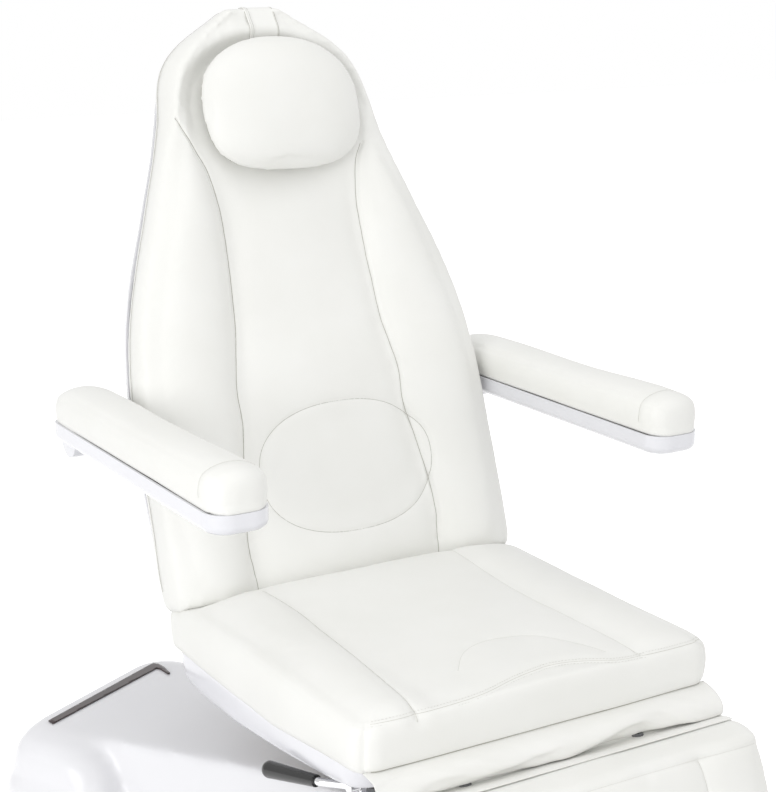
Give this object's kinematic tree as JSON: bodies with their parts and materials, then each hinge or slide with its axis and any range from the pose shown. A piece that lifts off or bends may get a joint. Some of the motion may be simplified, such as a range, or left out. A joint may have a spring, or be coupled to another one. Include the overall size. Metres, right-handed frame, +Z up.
{
  "type": "electric beauty chair",
  "caption": "Padded electric treatment chair on a swivelling lift base, with reclining back, lifting leg rest, fold-up armrests and a strapped head pillow.",
  "frame": {"origin": "floor under the swivel axis, on the flat underside of the base plate", "axes": "+Z up, the sitter faces -Y, +X is the sitter's left"},
  "size_m": [0.9703, 1.3273, 1.5019],
  "materials": {
    "plate_steel": "satin",
    "white_gloss_plastic": "gloss",
    "dark_gloss_plastic": "gloss",
    "black_plastic": "matte",
    "white_upholstery": "satin",
    "column_aluminium": "satin",
    "bright_steel": "satin",
    "cast_metal": "matte",
    "chrome_trim": "polished",
    "plywood": "matte"
  },
  "bodies": {
    "base": {"base_plate": "plate_steel", "levelling_screws": "bright_steel", "base_cover": "white_gloss_plastic", "rear_trim_strip": "dark_gloss_plastic", "power_inlet": "black_plastic", "control_box": "black_plastic", "lift_column_outer": "column_aluminium", "lift_motor": "cast_metal"},
    "column_middle": {"lift_column_middle": "column_aluminium"},
    "column_inner": {"lift_column_inner": "column_aluminium", "swivel_bearing": "bright_steel"},
    "turntable": {"turntable": "plate_steel", "tilt_cheek_left": "plate_steel", "tilt_cheek_right": "plate_steel", "tilt_pins": "bright_steel", "tilt_actuator": "black_plastic"},
    "tilt_rod": {"tilt_actuator_rod": "bright_steel"},
    "seat": {"seat_rail_left": "plate_steel", "seat_rail_right": "plate_steel", "seat_cross_front": "plate_steel", "seat_cross_rear": "plate_steel", "seat_cross_middle": "plate_steel", "seat_cross_tilt": "plate_steel", "seat_board": "plywood", "seat_pan": "white_gloss_plastic", "seat_cushion": "white_upholstery", "leg_hinge_pins": "bright_steel", "back_hinge_pins": "bright_steel", "back_actuator": "black_plastic", "leg_actuator": "black_plastic", "lever_bracket": "chrome_trim"},
    "back_rod": {"back_actuator_rod": "bright_steel"},
    "leg_rod": {"leg_actuator_rod": "bright_steel"},
    "backrest": {"back_upright_left": "plate_steel", "back_upright_right": "plate_steel", "back_bar_top": "plate_steel", "back_bar_middle": "plate_steel", "back_bar_bottom": "plate_steel", "back_shell": "white_gloss_plastic", "back_cushion": "white_upholstery", "headrest_pillow": "white_upholstery", "headrest_strap": "white_upholstery"},
    "arm_carrier_left": {"arm_carrier_left": "chrome_trim"},
    "arm_carrier_right": {"arm_carrier_right": "chrome_trim"},
    "armrest_left": {"arm_shell_left": "white_gloss_plastic", "arm_pad_left": "white_upholstery"},
    "armrest_right": {"arm_shell_right": "white_gloss_plastic", "arm_pad_right": "white_upholstery"},
    "leg_rest": {"leg_tube_left": "plate_steel", "leg_tube_right": "plate_steel", "leg_bar_top": "plate_steel", "leg_bar_foot": "plate_steel", "leg_cushion": "white_upholstery", "leg_pan": "white_gloss_plastic", "front_flap": "white_upholstery"},
    "lock_lever": {"lever_rod": "chrome_trim", "lever_grip": "black_plastic"}
  },
  "joints": [
    {"name": "lift_lower", "type": "slide", "parent": "base", "child": "column_middle", "axis": [0, 0, 1], "range_m": [0, 0.15]},
    {"name": "lift_upper", "type": "slide", "parent": "column_middle", "child": "column_inner", "axis": [0, 0, 1], "range_m": [0, 0.15]},
    {"name": "swivel", "type": "hinge", "parent": "column_inner", "child": "turntable", "pos_m": [0, 0, 0.366], "axis": [0, 0, 1], "range_deg": [-62, 118]},
    {"name": "seat_tilt", "type": "hinge", "parent": "turntable", "child": "seat", "pos_m": [0, 0.15, 0.415], "axis": [-1, 0, 0], "range_deg": [0, 12]},
    {"name": "tilt_rod_slide", "type": "slide", "parent": "turntable", "child": "tilt_rod", "axis": [0, 0, 1], "range_m": [0, 0.052]},
    {"name": "recline", "type": "hinge", "parent": "seat", "child": "backrest", "pos_m": [0, 0.29464, 0.5175], "axis": [-1, 0, 0], "range_deg": [0, 70]},
    {"name": "back_rod_slide", "type": "slide", "parent": "seat", "child": "back_rod", "axis": [0, -1, 0], "range_m": [0, 0.06884]},
    {"name": "leg_lift", "type": "hinge", "parent": "seat", "child": "leg_rest", "pos_m": [0, -0.29, 0.489], "axis": [-1, 0, 0], "range_deg": [0, 64], "deforming": ["front_flap"]},
    {"name": "leg_rod_slide", "type": "slide", "parent": "seat", "child": "leg_rod", "axis": [0, -1, 0], "range_m": [0, 0.0636]},
    {"name": "lock_lever_press", "type": "hinge", "parent": "seat", "child": "lock_lever", "pos_m": [-0.262, -0.205, 0.466], "axis": [-1, 0, 0], "range_deg": [0, 18]},
    {"name": "arm_level_left", "type": "hinge", "parent": "backrest", "child": "arm_carrier_left", "pos_m": [0.329, 0.40786, 0.839], "axis": [1, 0, 0], "range_deg": [0, 70]},
    {"name": "arm_fold_left", "type": "hinge", "parent": "arm_carrier_left", "child": "armrest_left", "pos_m": [0.329, 0.40786, 0.839], "axis": [-1, 0, 0], "range_deg": [0, 95]},
    {"name": "arm_level_right", "type": "hinge", "parent": "backrest", "child": "arm_carrier_right", "pos_m": [-0.329, 0.40786, 0.839], "axis": [1, 0, 0], "range_deg": [0, 70]},
    {"name": "arm_fold_right", "type": "hinge", "parent": "arm_carrier_right", "child": "armrest_right", "pos_m": [-0.329, 0.40786, 0.839], "axis": [-1, 0, 0], "range_deg": [0, 95]}
  ],
  "couplings": [
    {"joint": "lift_upper", "follows": "lift_lower", "ratio": 1},
    {"joint": "tilt_rod_slide", "follows": "seat_tilt", "m_per_rad": 0.24828},
    {"joint": "back_rod_slide", "follows": "recline", "m_per_rad": 0.056337},
    {"joint": "leg_rod_slide", "follows": "leg_lift", "m_per_rad": 0.056929},
    {"joint": "arm_level_left", "follows": "recline", "ratio": 1},
    {"joint": "arm_level_right", "follows": "recline", "ratio": 1}
  ]
}
